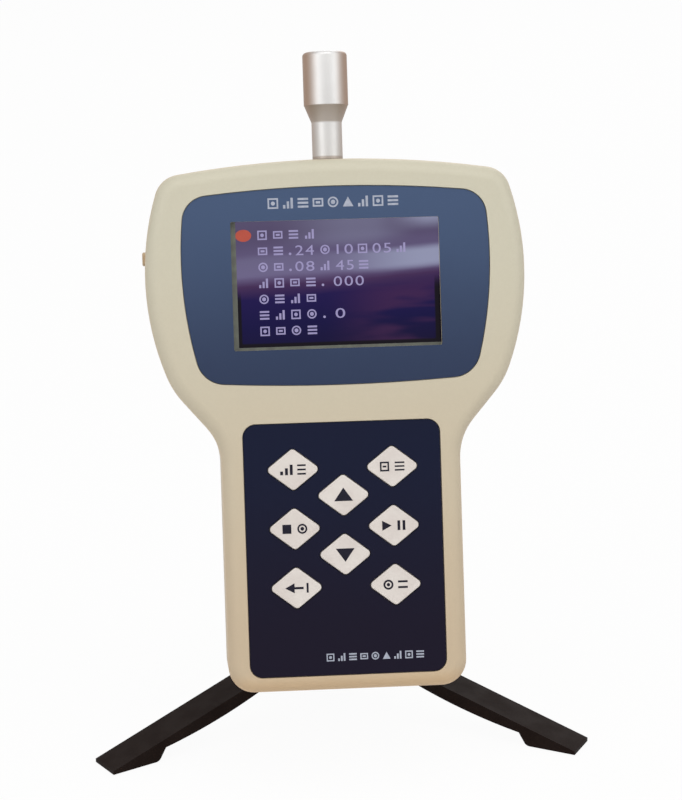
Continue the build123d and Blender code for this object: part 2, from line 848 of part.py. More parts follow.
with BuildPart() as pump_head:
    with BuildSketch(across(pump_head_x, pump_height, pump_forward)):
        RectangleRounded(pump_head_size, pump_head_size, pump_head_radius)
    extrude(amount=pump_head_length)
    chamfer(pump_head.faces().sort_by(Axis.X)[-1].edges(), key_edge)

with BuildPart() as pump_motor:
    with BuildSketch(across(pump_head_x, pump_height, pump_forward)):
        Circle(motor_radius)
    extrude(amount=-motor_length)
    fillet(pump_motor.faces().sort_by(Axis.X)[0].edges(), motor_rim)

with BuildPart() as exhaust_filter:
    with BuildSketch(across(filter_x, pump_height, pump_forward)):
        Circle(filter_radius)
    extrude(amount=filter_length)
    fillet(exhaust_filter.edges().filter_by(GeomType.CIRCLE), filter_rim)
    with BuildSketch(across(filter_x + filter_length, pump_height, pump_forward)):
        Circle(nipple_radius)
    extrude(amount=nipple_length)
    with BuildSketch(across(filter_x, pump_height, pump_forward)):
        Circle(nipple_radius)
    extrude(amount=-nipple_length)


def hose(points, start):
    """Hose along a path with round bends, square to the plane it starts from."""
    with BuildPart() as tube:
        with BuildLine(Plane(origin=start.origin, x_dir=(1, 0, 0), z_dir=case_front)) as path:
            FilletPolyline(*points, radius=hose_bend)
        with BuildSketch(start):
            Circle(hose_radius)
            Circle(hose_bore, mode=Mode.SUBTRACT)
        sweep(path=path.line)
    return tube


filter_end = filter_x + filter_length + nipple_length
sample_start = upright(probe_x, chamber_low, probe_forward)
sample_fall = chamber_low - pump_head_high
sample_run = sample_hose_x - probe_x
sample_hose = hose([(0, 0), (0, -sample_fall / 2), (sample_run, -sample_fall / 2),
                    (sample_run, -sample_fall)], sample_start)
exhaust_start = upright(exhaust_hose_x, pump_head_low, pump_forward)
exhaust_back = hose_return_x - exhaust_hose_x
exhaust_rise = pump_height - pump_head_low
exhaust_hose = hose([(0, 0), (0, -hose_drop), (exhaust_back, -hose_drop), (exhaust_back, exhaust_rise),
                     (filter_end - exhaust_hose_x, exhaust_rise)], exhaust_start)

# ---------------------------------------------------------------- cells, sockets
holder_low = cell_low - contact_thickness - holder_end
holder_length = cell_length + 2 * (contact_thickness + holder_end)
cell_middle = cell_low + cell_length / 2

with BuildPart() as battery_holder:
    with BuildSketch(back.offset(back_wall)):
        with Locations(*[(x, cell_middle) for x in cell_places]):
            Rectangle(2 * holder_half, holder_length)
    extrude(amount=holder_height)
    with BuildSketch(back.offset(back_wall)):
        with Locations((sum(cell_places) / 2, holder_low + holder_strip / 2)):
            Rectangle(cell_places[1] - cell_places[0], holder_strip)
    extrude(amount=holder_floor)
    for x in cell_places:
        with BuildSketch(upright(x, holder_low + holder_end, cell_forward)):
            Circle(cell_radius + fit_gap)
        extrude(amount=holder_length - 2 * holder_end, mode=Mode.SUBTRACT)

with BuildPart() as battery_contacts:
    for x in cell_places:
        for end in (holder_low + holder_end, cell_low + cell_length):
            with BuildSketch(upright(x, end, cell_forward)):
                Circle(contact_radius)
            extrude(amount=contact_thickness)

for side, x in zip(("left", "right"), cell_places):
    with BuildPart() as cell:
        with BuildSketch(upright(x, cell_low, cell_forward)):
            Circle(cell_radius)
        extrude(amount=cell_length)
        fillet(cell.edges().filter_by(GeomType.CIRCLE), cell_rim)
    pieces["battery_cell_" + side] = cell

with BuildPart() as dc_jack:
    with BuildSketch(upright(jack_x, side_wall, jack_forward)):
        Rectangle(jack_width, jack_depth)
    extrude(amount=jack_length)
    with BuildSketch(upright(jack_x, 0, jack_forward)):
        Circle(jack_nose)
    extrude(amount=side_wall)
    with BuildSketch(upright(jack_x, 0, jack_forward)):
        Circle(jack_bore)
    extrude(amount=jack_bore_depth, mode=Mode.SUBTRACT)

with BuildPart() as jack_pin:
    with BuildSketch(upright(jack_x, jack_bore_depth, jack_forward)):
        Circle(jack_pin_radius)
    extrude(amount=-jack_pin_length)
    fillet(jack_pin.edges().group_by(Axis(case_origin, case_up))[0], jack_pin_radius / 2)

with BuildPart() as data_port:
    with BuildSketch(upright(port_x, 0, port_forward)):
        RectangleRounded(port_width, port_depth, port_radius)
    extrude(amount=port_length)
    with BuildSketch(upright(port_x, 0, port_forward)):
        RectangleRounded(port_width - 2 * port_sheet, port_depth - 2 * port_sheet, port_radius - port_sheet)
    extrude(amount=port_length - port_sheet, mode=Mode.SUBTRACT)

with BuildPart() as tripod_insert:
    with BuildSketch(back):
        with Locations((socket_offset, socket_height)):
            Circle(insert_radius)
            Circle(socket_radius, mode=Mode.SUBTRACT)
    extrude(amount=insert_length)

# ---------------------------------------------------------------- screws
with BuildPart() as case_screws:
    with BuildSketch(back.offset(head_depth)):
        with Locations(*mirrored_screws):
            Circle(head_radius)
    extrude(amount=head_height)
    with BuildSketch(back.offset(head_depth)):
        with Locations(*mirrored_screws):
            Rectangle(driver_length, driver_width)
            Rectangle(driver_width, driver_length)
    extrude(amount=head_height / 2, mode=Mode.SUBTRACT)
    with BuildSketch(back.offset(head_depth + head_height)):
        with Locations(*mirrored_screws):
            Circle(shank_radius)
    extrude(amount=shank_length)

with BuildPart() as board_screws:
    for board_back, places, shank in (
        (key_board_back, key_posts, small_shank_length),
        (main_board_back, display_posts, small_shank_length + spacer_length + board_thickness),
    ):
        with BuildSketch(back.offset(board_back)):
            with Locations(*places):
                Circle(small_head_radius)
        extrude(amount=-small_head_height)
        with BuildSketch(back.offset(board_back)):
            with Locations(*places):
                Circle(small_shank_radius)
        extrude(amount=shank)

# ---------------------------------------------------------------- ball head
neck_back = stem_length - pad_thickness - platform_thickness
stem = Plane(origin=ball_centre, x_dir=(1, 0, 0), z_dir=case_front)

with BuildPart(stem) as ball_stud:
    Sphere(ball_radius)
    with BuildSketch(stem):
        Circle(stem_neck_radius)
    extrude(amount=neck_back)
    with BuildSketch(stem.offset(neck_back)):
        Circle(stud_radius)
    extrude(amount=pad_thickness + platform_thickness + stud_entry)
    chamfer(ball_stud.faces().sort_by(depth_axis)[-1].edges(), key_edge)

with BuildPart() as platform:
    with BuildSketch(stem.offset(neck_back)):
        Circle(platform_radius)
        with PolarLocations(platform_radius + platform_notch / 2, platform_notches):
            Circle(platform_notch, mode=Mode.SUBTRACT)
        Circle(stud_radius + fit_gap, mode=Mode.SUBTRACT)
    extrude(amount=platform_thickness)

with BuildPart() as platform_pad:
    with BuildSketch(stem.offset(stem_length)):
        Circle(platform_radius - platform_notch)
        Circle(stud_radius + fit_gap, mode=Mode.SUBTRACT)
    extrude(amount=-pad_thickness)

# The cup holds the ball past its equator. A notch towards the user lets the stem drop until it
# rests there, which is the case's upright end stop.
notch_half = stem_neck_radius + stem_clearance
cup_low = ball_height - cup_below
with BuildPart() as ball_cup:
    with BuildSketch(Plane.XY.offset(cup_low)):
        with Locations((0, axis_y)):
            Circle(cup_radius)
    extrude(amount=cup_below + cup_above)
    chamfer(ball_cup.faces().sort_by(Axis.Z)[-1].edges(), key_edge)
    with BuildSketch(Plane(origin=ball_centre, x_dir=(0, 1, 0), z_dir=(1, 0, 0))):
        Circle(clamp_boss_radius)
    extrude(amount=clamp_boss_reach)
    with Locations(ball_centre):
        Sphere(ball_radius + cup_fit, mode=Mode.SUBTRACT)
    with BuildSketch(stem):
        Circle(notch_half)
    extrude(amount=stem_length, mode=Mode.SUBTRACT)
    reach_y = -2 * cup_radius * cos(radians(lean))
    reach_z = 2 * cup_radius * sin(radians(lean))
    with BuildSketch(Plane(origin=ball_centre, x_dir=(0, 1, 0), z_dir=(1, 0, 0))):
        Polygon((0, 0), (reach_y, reach_z), (reach_y, 2 * cup_radius), (0, 2 * cup_radius), align=None)
    extrude(amount=notch_half, both=True, mode=Mode.SUBTRACT)
    with BuildSketch(Plane(origin=ball_centre, x_dir=(0, 1, 0), z_dir=(1, 0, 0))):
        Circle(clamp_radius + clamp_fit)
    extrude(amount=clamp_boss_reach, mode=Mode.SUBTRACT)

clamp = Plane(origin=ball_centre, x_dir=(0, 1, 0), z_dir=(1, 0, 0))
knob_x = clamp_boss_reach + clamp_gap
with BuildPart() as clamp_screw:
    with BuildSketch(clamp.offset(ball_radius + clamp_gap)):
        Circle(clamp_radius)
    extrude(amount=knob_x + knob_entry - ball_radius - clamp_gap)

with BuildPart() as clamp_knob:
    with BuildSketch(clamp.offset(knob_x)):
        Circle(knob_radius)
        with PolarLocations(knob_radius + knob_scallop / 2, knob_lobes):
            Circle(knob_scallop, mode=Mode.SUBTRACT)
    extrude(amount=knob_length)
    fillet(clamp_knob.faces().sort_by(Axis.X)[-1].edges(), key_edge)
    with BuildSketch(clamp.offset(knob_x)):
        Circle(clamp_radius)
    extrude(amount=knob_entry, mode=Mode.SUBTRACT)

# ---------------------------------------------------------------- tripod


def top_height(reach):
    """Height of a leg's top face above the table, at a distance from the tripod axis."""
    return toe_height + (leg_reach - reach) * slope


tilt = 1 / cos(radians(leg_slope))         # height of a thickness measured square to the leg
pin_height = top_height(pin_reach) - pin_depth * tilt
lug_half = leg_width / 2 - leg_wall - lug_side_gap


def leg_plane(angle):
    """Upright plane through the tripod axis; its own x runs outward and its y upward."""
    outward = (cos(radians(angle)), sin(radians(angle)), 0)
    sideways = (sin(radians(angle)), -cos(radians(angle)), 0)
    return Plane(origin=(0, axis_y, 0), x_dir=outward, z_dir=sideways)


with BuildPart() as tripod_hub:
    with BuildSketch(Plane.XY.offset(hub_low)):
        with Locations((0, axis_y)):
            Circle(hub_radius)
    extrude(amount=hub_high - hub_low)
    fillet(tripod_hub.edges().filter_by(GeomType.CIRCLE), key_edge)
    with BuildSketch(Plane.XY.offset(hub_high)):
        with Locations((0, axis_y)):
            Circle(column_radius)
    extrude(amount=cup_low - hub_high)
    for angle in leg_angles.values():
        with BuildSketch(leg_plane(angle)):
            with Locations((pin_reach, pin_height)):
                Circle(lug_radius)
            inner = hub_radius / 2
            Polygon((inner, pin_height - lug_radius), (pin_reach, pin_height - lug_radius),
                    (pin_reach, top_height(pin_reach) - leg_wall * tilt),
                    (inner, top_height(inner) - leg_wall * tilt), align=None)
        extrude(amount=lug_half, both=True)
        with BuildSketch(leg_plane(angle)):
            with Locations((pin_reach, pin_height)):
                Circle(pin_radius)
        extrude(amount=leg_width, both=True, mode=Mode.SUBTRACT)

with BuildPart() as leg_pins:
    for angle in leg_angles.values():
        with BuildSketch(leg_plane(angle)):
            with Locations((pin_reach, pin_height)):
                Circle(pin_radius)
        extrude(amount=leg_width / 2, both=True)

foot_reach = leg_reach - foot_margin - foot_length / 2
for name, angle in leg_angles.items():
    waist = heel_reach - heel_run
    middle = (waist + inner_reach) / 2
    waist_low = (waist, top_height(waist) - waist_depth * tilt)
    middle_low = (middle, top_height(middle) - belly_depth * tilt)
    inner_low = (inner_reach, top_height(inner_reach) - inner_depth * tilt)
    with BuildPart() as leg:
        with BuildSketch(leg_plane(angle)) as profile:
            with BuildLine():
                Polyline(inner_low, (pin_reach, pin_height - knuckle_radius),
                         (leg_root, pin_height), (leg_root, top_height(leg_root)),
                         (leg_reach, toe_height), (leg_reach, foot_proud),
                         (heel_reach, foot_proud), waist_low)
                ThreePointArc(waist_low, middle_low, inner_low)
            make_face()
            fillet(profile.vertices().sort_by_distance((heel_reach, foot_proud))[0], heel_radius)
            with Locations((pin_reach, pin_height)):
                Circle(knuckle_radius)
        extrude(amount=leg_width / 2, both=True)
        fillet(leg.faces().sort_by(Axis.Z)[-1].edges().sort_by(SortBy.LENGTH)[-2:], leg_edge)
        with BuildSketch(leg_plane(angle)):
            under = leg_wall * tilt
            Polygon((0, top_height(0) - under), (waist, top_height(waist) - under),
                    (waist, 0), (0, 0), align=None)
        extrude(amount=leg_width / 2 - leg_wall, both=True, mode=Mode.SUBTRACT)
        with BuildSketch(leg_plane(angle)):
            with Locations((pin_reach, pin_height)):
                Circle(pin_radius + pin_fit)
        extrude(amount=leg_width, both=True, mode=Mode.SUBTRACT)
        with BuildSketch(Plane(origin=(0, axis_y, 0), x_dir=leg_plane(angle).x_dir, z_dir=(0, 0, 1))):
            with Locations((foot_reach, 0)):
                Rectangle(foot_length, foot_width)
        extrude(amount=foot_thickness, mode=Mode.SUBTRACT)
    pieces[name] = leg
    with BuildPart() as foot:
        with BuildSketch(Plane(origin=(0, axis_y, 0), x_dir=leg_plane(angle).x_dir, z_dir=(0, 0, 1))):
            with Locations((foot_reach, 0)):
                Rectangle(foot_length, foot_width)
        extrude(amount=foot_thickness)
    pieces[name.replace("leg", "foot")] = foot

# ---------------------------------------------------------------- files
pieces.update(
    front_shell=front_shell, rear_shell=rear_shell, display_overlay=display_overlay,
    keypad_panel=keypad_panel, key_switches=key_switches, key_board=key_board, buzzer=buzzer,
    display_frame=display_frame, display_glass=display_glass, display_backlight=display_backlight,
    display_board=display_board, board_spacers=board_spacers, main_board=main_board,
    power_button=power_button, power_switch=power_switch, inlet_probe=inlet_probe,
    inlet_seal=inlet_seal, inlet_fitting=inlet_fitting, inlet_nut=inlet_nut,
    optical_chamber=optical_chamber, laser_module=laser_module, light_trap=light_trap,
    detector_board=detector_board, pump_head=pump_head, pump_motor=pump_motor,
    exhaust_filter=exhaust_filter, sample_hose=sample_hose, exhaust_hose=exhaust_hose,
    battery_holder=battery_holder, battery_contacts=battery_contacts, dc_jack=dc_jack,
    jack_pin=jack_pin, data_port=data_port, tripod_insert=tripod_insert, case_screws=case_screws,
    board_screws=board_screws, ball_stud=ball_stud, platform=platform, platform_pad=platform_pad,
    ball_cup=ball_cup, clamp_screw=clamp_screw, clamp_knob=clamp_knob, tripod_hub=tripod_hub,
    leg_pins=leg_pins,
)
for name, piece in pieces.items():
    piece.part.label = name
    export_step(piece.part, f"parts/{name}.step")
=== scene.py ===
import json
from math import cos, pi, radians, sin

import bmesh
import bpy
import numpy as np
from mathutils import Matrix, Vector

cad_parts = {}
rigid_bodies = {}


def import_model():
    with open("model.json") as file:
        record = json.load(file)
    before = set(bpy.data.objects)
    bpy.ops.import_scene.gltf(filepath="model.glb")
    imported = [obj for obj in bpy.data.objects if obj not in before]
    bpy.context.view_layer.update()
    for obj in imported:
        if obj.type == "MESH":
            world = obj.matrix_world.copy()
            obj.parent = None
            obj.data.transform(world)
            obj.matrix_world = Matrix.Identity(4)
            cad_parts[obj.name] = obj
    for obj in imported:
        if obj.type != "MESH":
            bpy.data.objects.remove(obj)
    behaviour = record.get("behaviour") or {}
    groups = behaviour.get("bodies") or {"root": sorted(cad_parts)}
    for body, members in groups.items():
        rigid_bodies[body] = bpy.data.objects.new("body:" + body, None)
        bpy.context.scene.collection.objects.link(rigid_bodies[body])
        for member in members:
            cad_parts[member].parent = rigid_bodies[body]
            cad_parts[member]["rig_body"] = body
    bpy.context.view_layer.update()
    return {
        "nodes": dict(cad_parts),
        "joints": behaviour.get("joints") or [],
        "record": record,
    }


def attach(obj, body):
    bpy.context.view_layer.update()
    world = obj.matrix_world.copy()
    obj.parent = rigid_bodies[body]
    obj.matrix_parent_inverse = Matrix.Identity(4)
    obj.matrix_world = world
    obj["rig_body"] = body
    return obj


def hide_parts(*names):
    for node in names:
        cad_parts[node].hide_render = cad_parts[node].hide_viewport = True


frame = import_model()
nodes = frame["nodes"]
scene = bpy.context.scene
mm = 0.001

# ---------------------------------------------------------------- directions and places
# The case leans back. Its own directions come from the joint that turns it: `front` is square to
# its face and points at the user, `up` runs up the case.
joints = {joint["name"]: joint for joint in frame["joints"]}
across = Vector((1, 0, 0))
front = Vector(joints["case_turn"]["axis"]).normalized()
up = front.cross(across)


def reach(node, direction):
    """Lowest and highest value of a CAD node's points along a direction."""
    mesh = nodes[node].data
    points = np.empty(len(mesh.vertices) * 3)
    mesh.vertices.foreach_get("co", points)
    along = points.reshape(-1, 3) @ np.array(direction)
    return float(along.min()), float(along.max())


def middle(node, direction):
    """Half way between the two ends of a node along a direction."""
    low, high = reach(node, direction)
    return (low + high) / 2


case_x = middle("front_shell", across)
case_low = reach("front_shell", up)[0]
case_back = reach("rear_shell", front)[0]
case_height = reach("front_shell", up)[1] - case_low
case_depth = reach("front_shell", front)[1] - case_back


def case_points(flat, depth):
    """World points for points of a drawing on the case: x, height up the case, and a depth."""
    flat = np.asarray(flat, float)
    start = np.array(case_x * across + case_low * up + (case_back + depth) * front)
    return start + flat[:, :1] * np.array(across) + flat[:, 1:2] * np.array(up)


def height_of(node):
    """Middle of a node above the lower end of the case."""
    return middle(node, up) - case_low


def depth_of(node):
    """Outer face of a node in front of the back of the case."""
    return reach(node, front)[1] - case_back


# the inlet probe, in millimetres above its own lower end; its bore and barrel come from the mounts
mounts = {mount["name"]: mount for mount in frame["record"]["mounts"]}
mouth = mounts["probe_mouth"]
probe_x = middle("inlet_probe", across)
probe_low, probe_top = reach("inlet_probe", up)
probe_height = (probe_top - probe_low) / mm
barrel_radius = mounts["probe_barrel"]["dims"]["r_mm"]
mouth_radius = mouth["dims"]["r_mm"]
mouth_depth = mouth["dims"]["length_mm"]
neck_radius = 5.45
neck_height = 13.3
cone_height = 6.3
barrel_low = neck_height + cone_height
throat_radius = 2.2
spigot_radius = 3.6
spigot_depth = 7.1
ring_pitch = 0.35           # of the fine rings that turning leaves

# the seen part of the display's glass, in millimetres from the middle and the lower end of the case
view_left, view_right = -34.4, 35.9
view_half_height = 21.5
view_low = height_of("display_glass") / mm - view_half_height


# ---------------------------------------------------------------- finishes
def tone(red, green, blue):
    """A display colour of 0 to 255 as the linear colour that a shader takes."""
    share = np.array([red, green, blue]) / 255
    linear = np.where(share <= 0.04045, share / 12.92, ((share + 0.055) / 1.055) ** 2.4)
    return (*linear.tolist(), 1.0)


class Value:
    """A socket of a shading. Arithmetic on it adds the Math nodes that work it out."""

    def __init__(self, shading, socket):
        self.shading = shading
        self.socket = socket

    def __add__(self, other):
        return self.shading.math("ADD", self, other)

    def __radd__(self, other):
        return self.shading.math("ADD", other, self)

    def __sub__(self, other):
        return self.shading.math("SUBTRACT", self, other)

    def __rsub__(self, other):
        return self.shading.math("SUBTRACT", other, self)

    def __mul__(self, other):
        return self.shading.math("MULTIPLY", self, other)

    def __rmul__(self, other):
        return self.shading.math("MULTIPLY", other, self)

    def __truediv__(self, other):
        return self.shading.math("DIVIDE", self, other)

    def __abs__(self):
        return self.shading.math("ABSOLUTE", self)

    def step(self, start, end):
        """0 before start and 1 past end, with a soft turn between them."""
        settings = {"interpolation_type": "SMOOTHSTEP"}
        node = self.shading.node("MapRange", settings, {"Value": self, "From Min": start, "From Max": end})
        return Value(self.shading, node.outputs["Result"])


class Shading:
    """The nodes of a material or of the world, with one way to add any node and its sums."""

    def __init__(self, owner):
        owner.use_nodes = True
        self.tree = owner.node_tree

    def node(self, kind, settings=None, inputs=None):
        """Any node: its type, its settings, which are set first, and its sockets' values or links."""
        node = self.tree.nodes.new("ShaderNode" + kind)
        for name, value in (settings or {}).items():
            if name == "stops":
                self.fill(node.color_ramp.elements, value)
            else:
                setattr(node, name, value)
        for key, value in (inputs or {}).items():
            self.put(node.inputs[key], value)
        return node

    @staticmethod
    def fill(elements, stops):
        """Sets the stops of a colour ramp: place and colour."""
        while len(elements) < len(stops):
            elements.new(1.0)
        for element, (position, colour) in zip(elements, stops):
            element.position = position
            element.color = colour

    def put(self, socket, value):
        """Gives a socket its link or its value."""
        if isinstance(value, Value):
            self.tree.links.new(value.socket, socket)
        else:
            socket.default_value = value

    def math(self, operation, first, second=0.0):
        """The sum of one Math node."""
        node = self.node("Math", {"operation": operation}, {0: first, 1: second})
        return Value(self, node.outputs[0])

    def seen(self):
        """1 for rays that the eye follows, straight, off a gloss or through a clear piece, else 0."""
        rays = self.node("LightPath").outputs
        kinds = ("Is Camera Ray", "Is Glossy Ray", "Is Transmission Ray")
        straight, glossy, clear = (Value(self, rays[kind]) for kind in kinds)
        return self.math("MAXIMUM", self.math("MAXIMUM", straight, glossy), clear)

    def blend(self, share, first, second, end):
        """Sends an end node from the first shader to the second as the share goes from 0 to 1."""
        shaders = {1: Value(self, first.outputs[0]), 2: Value(self, second.outputs[0])}
        node = self.node("MixShader", None, {0: share, **shaders})
        self.tree.links.new(node.outputs[0], self.tree.nodes[end].inputs[0])


class Finish(Shading):
    """A material with one Principled shader, and short ways to its patterns."""

    def __init__(self, name):
        self.material = bpy.data.materials.new(name)
        super().__init__(self.material)
        self.shader = self.tree.nodes["Principled BSDF"]
        self.place = Value(self, self.node("TexCoord").outputs["Object"])

    def set(self, **inputs):
        """Sets the shader's own sockets, named with _ for a space."""
        for name, value in inputs.items():
            self.put(self.shader.inputs[name.replace("_", " ")], value)

    def mix(self, share, first, second):
        """From the first colour to the second as the share goes from 0 to 1."""
        node = self.node("Mix", {"data_type": "RGBA"}, {0: share, 6: first, 7: second})
        return Value(self, node.outputs[2])

    def along(self, direction, start=0.0):
        """Distance of a point along a direction, in millimetres from a start in metres."""
        node = self.node("VectorMath", {"operation": "DOT_PRODUCT"}, {0: self.place, 1: direction})
        return (Value(self, node.outputs["Value"]) - start) * 1000

    def noise(self, size, detail=2.0, stretch=(1.0, 1.0, 1.0)):
        """Soft noise of 0 to 1 with spots of about a size in millimetres, drawn out by a stretch."""
        scale = [1 / (size * mm * part) for part in stretch]
        spread = self.node("Mapping", None, {"Vector": self.place, "Scale": scale})
        vector = Value(self, spread.outputs["Vector"])
        node = self.node("TexNoise", None, {"Vector": vector, "Scale": 1.0, "Detail": detail})
        return Value(self, node.outputs["Fac"])

    def bump(self, height, depth):
        """Normal of a relief: a height of 0 to 1 times a depth in millimetres."""
        node = self.node("Bump", None, {"Height": height, "Distance": depth * mm, "Strength": 1.0})
        return Value(self, node.outputs["Normal"])


def plain(name, colour, other, spots, rough, metal=0.0, coat=0.0, grain=0.0, grain_depth=0.0,
          stretch=(1, 1, 1), shine=0.5):
    """A finish of two near colours in soft spots, with roughness that follows them and a fine grain."""
    made = Finish(name)
    made.set(Specular_IOR_Level=shine)
    patches = made.noise(spots, 3.0, stretch).step(0.3, 0.7)
    made.set(Base_Color=made.mix(patches, tone(*colour), tone(*other)), Metallic=metal, Coat_Weight=coat)
    made.set(Roughness=rough[0] + (rough[1] - rough[0]) * patches)
    if grain:
        made.set(Normal=made.bump(made.noise(grain, 2.0, stretch), grain_depth))
    return made


def ivory_plastic():
    """Ivory moulding with a fine spark-eroded grain, paler at the top as painted light from above, and
    warmer low and round its rim as painted warm shade.
    """
    made = Finish("ivory plastic")
    height = made.along(up, case_low)
    depth = made.along(front, case_back)
    clouds = made.noise(38.0, 2.0)
    # painted light: the case turns paler towards its top, as if lit from above
    rise = (height + 24.0 * clouds).step(10.0, case_height / mm)
    body = made.mix(rise, tone(198, 178, 150), tone(202, 197, 177))
    # painted warm shade: the rounded rim and the lower end turn tan, standing in for the shaded underside
    # lit warm from below
    face = case_depth / mm
    rim = (1.0 - depth.step(face - 6.5, face - 1.5)) * depth.step(face - 17.0, face - 8.0)
    foot = 1.0 - height.step(1.0, 8.0)
    warm = made.mix(rim * 0.5 + foot * 0.5, body, tone(214, 176, 128))
    specks = made.noise(0.9, 2.0).step(0.25, 0.75)
    made.set(Base_Color=made.mix(specks * 0.07, warm, tone(176, 166, 144)))
    made.set(Roughness=0.46 + 0.1 * specks, Normal=made.bump(made.noise(0.5, 2.0), 0.018))
    return made


def printed_film(name, low, high, start, end, shine):
    """Printed film with a satin face: one colour at the start height and another at the end."""
    made = Finish(name)
    made.set(Specular_IOR_Level=shine)
    height = made.along(up, case_low)
    weave = made.noise(0.7, 1.0)
    rise = (height + 10.0 * made.noise(30.0)).step(start + 5.0, end + 5.0)
    base = made.mix(rise, tone(*low), tone(*high))
    made.set(Base_Color=made.mix(weave * 0.05, base, tone(*high)))
    made.set(Roughness=0.36 + 0.1 * weave, Normal=made.bump(weave, 0.006))
    return made


def lit_display():
    """The lit display: a dark navy ground, a mauve edge half way up and pale lavender above, brightened by
    painted highlights of the glass, with painted shade along its foot and the lower halves of its left and
    right edges.
    """
    made = Finish("lit display")
    low = (reach("display_glass", up)[0] - case_low) / mm
    high = (reach("display_glass", up)[1] - case_low) / mm
    height = made.along(up, case_low)
    side = made.along(across, case_x)
    slope = height - 0.05 * side
    drawn = made.noise(9.0, 3.0, (5.0, 1.0, 1.0))
    level = (slope + 3.5 * drawn - low) / (high - low)
    stops = [
        (0.0, tone(10, 3, 34)), (0.30, tone(12, 6, 62)), (0.47, tone(24, 12, 72)),
        (0.55, tone(66, 42, 82)), (0.62, tone(100, 88, 126)), (0.76, tone(92, 82, 116)),
        (0.88, tone(82, 72, 102)), (1.0, tone(88, 80, 110)),
    ]
    ramp = made.node("ValToRGB", {"stops": stops}, {"Fac": level})
    ground = Value(made, ramp.outputs["Color"])
    # painted highlights: a pale sheen of the glass along the mauve band, stronger to the right, in the
    # upper right corner and across the upper middle
    band = level.step(0.57, 0.64) * (1.0 - level.step(0.70, 0.76))
    painted_corner_highlight = level.step(0.82, 0.95) * side.step(18.0, 34.0)
    painted_sheen = level.step(0.74, 0.84) * side.step(-24.0, 6.0) * (1.0 - side.step(12.0, 30.0))
    painted_highlights = band * (0.15 + 0.75 * side.step(-8.0, 32.0)) + painted_corner_highlight * 0.85 + painted_sheen * 0.3
    glow = made.mix(painted_highlights, ground, tone(150, 154, 182))
    low_side = 1.0 - level.step(0.44, 0.56)
    streaks = made.noise(6.0, 2.0, (6.0, 1.0, 1.0)).step(0.42, 0.6) * low_side * side.step(-6.0, 24.0)
    glow = made.mix(streaks * 0.55, glow, tone(74, 38, 76))
    # painted shade: near black bands along the right and left edges of the lower half and along the foot
    # of the window, where its inner wall would be in shadow
    painted_right_shade = side.step(view_right - 1.7, view_right - 0.9)
    painted_left_shade = 1.0 - side.step(view_left + 0.6, view_left + 1.3)
    foot = 1.0 - height.step(view_low + 0.8, view_low + 1.8)
    shade = (painted_right_shade + painted_left_shade) * low_side + foot
    glow = made.mix(shade.step(0.0, 1.0), glow, tone(10, 5, 12))
    made.set(Base_Color=tone(8, 6, 14), Emission_Color=glow, Emission_Strength=0.95)
    made.set(Roughness=0.12 + 0.05 * made.noise(12.0), Specular_IOR_Level=0.1)
    return made


def lit_mark(name, base, colour, other, spots):
    """A mark that glows on the display in two near colours, in soft spots, over a dark base."""
    made = Finish(name)
    made.set(Base_Color=tone(*base), Roughness=0.4, Specular_IOR_Level=0.1, Emission_Strength=0.9)
    made.set(Emission_Color=made.mix(made.noise(spots), tone(*colour), tone(*other)))
    return made


def probe_metal():
    """Turned aluminium: fine rings up the probe, pale along its middle, with painted reflection making it
    warmer and darker to its sides, on its cone and in a band at its foot."""
    made = Finish("turned aluminium")
    height = made.along(up, probe_low)
    rings = made.math("SINE", height * (2 * pi / ring_pitch)) * 0.5 + 0.5
    cloud = made.noise(6.0, 2.0)
    # painted reflection: away from its middle the probe turns darker and warm, as surroundings mirrored in
    # the metal
    side = abs(made.along(across, probe_x)) / barrel_radius
    wall = made.mix(0.25 * rings + 0.25 * cloud, tone(204, 203, 202), tone(188, 186, 184))
    warm = made.mix(side.step(0.3, 0.95), wall, tone(158, 132, 114))
    # painted reflection: the cone and a narrow band at the foot turn darker and warm, as the ivory case
    # mirrored in the metal
    past_barrel = height.step(barrel_low - 0.5, barrel_low + 0.1)
    cone = height.step(neck_height - 0.1, neck_height + 0.5) * (1.0 - past_barrel)
    foot = 1.0 - height.step(0.9, 1.5)
    made.set(Base_Color=made.mix(cone * 0.6 + foot * 0.7, warm, tone(150, 134, 120)), Metallic=0.8)
    made.set(Roughness=0.42 + 0.1 * cloud, Normal=made.bump(rings, 0.004))
    return made


def circuit_board():
    """Green solder mask over straight copper tracks."""
    made = Finish("circuit board")
    line = made.math("SINE", made.along(across) * 2.6) + made.math("SINE", made.along(up) * 1.9)
    tracks = line.step(0.9, 1.1) * made.noise(14.0).step(0.45, 0.55)
    made.set(Base_Color=made.mix(tracks, tone(20, 92, 48), tone(62, 138, 74)))
    made.set(Roughness=0.35 + 0.1 * tracks, Normal=made.bump(tracks, 0.03))
    return made


